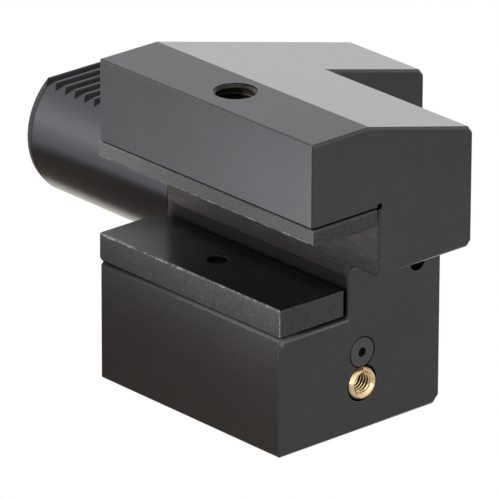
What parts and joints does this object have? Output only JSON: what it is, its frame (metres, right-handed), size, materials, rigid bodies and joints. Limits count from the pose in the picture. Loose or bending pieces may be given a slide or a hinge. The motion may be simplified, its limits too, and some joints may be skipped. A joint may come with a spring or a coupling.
{
  "type": "turret tool holder",
  "caption": "Axial lathe turret tool holder with toothed round shank, offset clamping jaws, screw-driven clamping strip, loose support plate and swivelling brass coolant nozzle.",
  "frame": {"origin": "shank axis at the flange's contact face", "axes": "+X from the shank to the tool end, -Y towards the open side of the tool slot, +Z towards the toothed side of the shank"},
  "size_m": [0.1478, 0.09, 0.0905],
  "materials": {
    "black_oxide_steel": "satin black oxide",
    "plate_steel": "satin black oxide, worn bright at the edges",
    "strip_steel": "matt black oxide",
    "screw_steel": "satin black oxide",
    "pin_steel": "ground",
    "nozzle_brass": "turned",
    "seal_rubber": "matt"
  },
  "bodies": {
    "holder": {"holder_body": "black_oxide_steel", "shank_seal": "seal_rubber", "channel_plug": "screw_steel", "support_plate": "plate_steel", "support_plate_screw": "screw_steel", "support_plate_dowel_1": "pin_steel", "support_plate_dowel_2": "pin_steel", "nozzle_lock_screw": "screw_steel"},
    "strip": {"clamp_strip": "strip_steel", "strip_guide_pin_1": "pin_steel", "strip_guide_pin_2": "pin_steel", "strip_retaining_pin_1": "pin_steel", "strip_retaining_pin_2": "pin_steel"},
    "screw": {"clamp_screw": "screw_steel"},
    "nozzle_race": {"nozzle_seal": "seal_rubber"},
    "nozzle": {"coolant_nozzle": "nozzle_brass"}
  },
  "joints": [
    {"name": "clamp_strip_slide", "type": "slide", "parent": "holder", "child": "strip", "axis": [0, 0, -1], "range_m": [0, 0.005]},
    {"name": "clamp_screw_turn", "type": "hinge", "parent": "strip", "child": "screw", "pos_m": [0.042, -0.037, 0.03], "axis": [0, 0, -1], "range_deg": [0, 1029]},
    {"name": "nozzle_roll", "type": "hinge", "parent": "holder", "child": "nozzle_race", "pos_m": [0.0698, -0.0193, -0.0292], "axis": [1, 0, 0], "continuous": true},
    {"name": "nozzle_tilt", "type": "hinge", "parent": "nozzle_race", "child": "nozzle", "pos_m": [0.0698, -0.0193, -0.0292], "axis": [0, 1, 0], "range_deg": [-15, 15]}
  ],
  "couplings": [
    {"joint": "clamp_screw_turn", "follows": "clamp_strip_slide", "rad_per_m": 3590.4}
  ]
}
